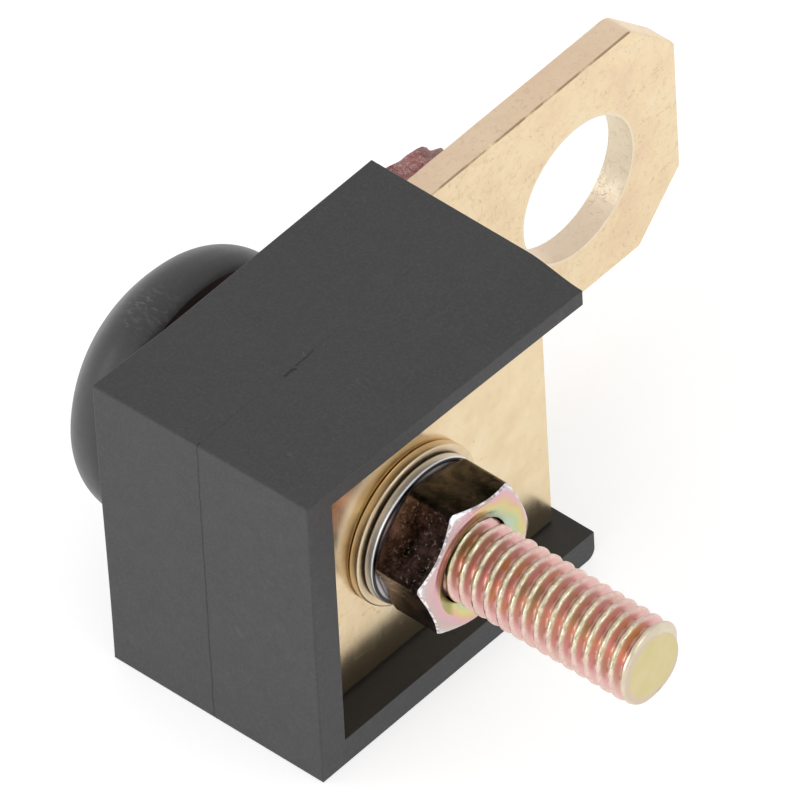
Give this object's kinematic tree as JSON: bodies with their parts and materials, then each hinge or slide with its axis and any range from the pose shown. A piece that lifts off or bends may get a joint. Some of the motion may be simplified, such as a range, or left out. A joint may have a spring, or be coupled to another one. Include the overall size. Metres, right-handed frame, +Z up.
{
  "type": "screw-type battery cut-off switch",
  "caption": "Battery cut-off switch: black housing, brass blade with a large clamping hole, threaded cable stud with nut and washers, and a domed knob that screws the contact open.",
  "frame": {"origin": "centre of the whole object's box in X and Y, at the flat underside of the housing that it rests on", "axes": "+X along the battery blade towards its hole, -Y along the cable stud towards its tip (the knob is at +Y), +Z up from the housing's underside"},
  "size_m": [0.0686, 0.061, 0.033],
  "materials": {
    "black_housing": "moulded, fine matte",
    "black_knob": "satin moulded",
    "blade_brass": "satin, fine random scratches",
    "plate_brass": "bright rolled",
    "red_fibre": "vulcanised fibre, torn edge",
    "yellow_zinc": "yellow chromate zinc plate",
    "spring_steel": "bright zinc plate",
    "washer_zinc": "yellow zinc plate",
    "machined_brass": "machined",
    "contact_silver": "silver alloy contact",
    "black_rubber": "matt",
    "screw_steel": "zinc plate"
  },
  "bodies": {
    "body": {"housing": "black_housing", "contact_plate": "plate_brass", "battery_blade": "blade_brass", "fibre_insulator": "red_fibre", "blade_bush": "machined_brass", "terminal_stud": "yellow_zinc", "fixed_contact": "contact_silver", "blade_screws": "screw_steel", "plate_screws": "screw_steel"},
    "contact_foot": {"moving_contact": "contact_silver"},
    "knob": {"knob": "black_knob", "knob_screw": "machined_brass", "seal_washer": "black_rubber", "retaining_clip": "spring_steel"},
    "washers": {"flat_washer": "washer_zinc", "spring_washer": "spring_steel"},
    "nut": {"terminal_nut": "yellow_zinc"}
  },
  "joints": [
    {"name": "contact_travel", "type": "slide", "parent": "body", "child": "contact_foot", "axis": [0, 1, 0], "range_m": [0, 0.00357]},
    {"name": "knob_turn", "type": "hinge", "parent": "contact_foot", "child": "knob", "pos_m": [-0.0182, 0.0177, 0.0171], "axis": [0, 1, 0], "range_deg": [0, 810]},
    {"name": "nut_travel", "type": "slide", "parent": "body", "child": "washers", "axis": [0, -1, 0], "range_m": [0, 0.01693]},
    {"name": "nut_turn", "type": "hinge", "parent": "washers", "child": "nut", "pos_m": [-0.0182, -0.0079, 0.0171], "axis": [0, -1, 0], "range_deg": [0, 4320]}
  ],
  "couplings": [
    {"joint": "knob_turn", "follows": "contact_travel", "rad_per_m": 3957.9},
    {"joint": "nut_turn", "follows": "nut_travel", "rad_per_m": 4452.7}
  ]
}
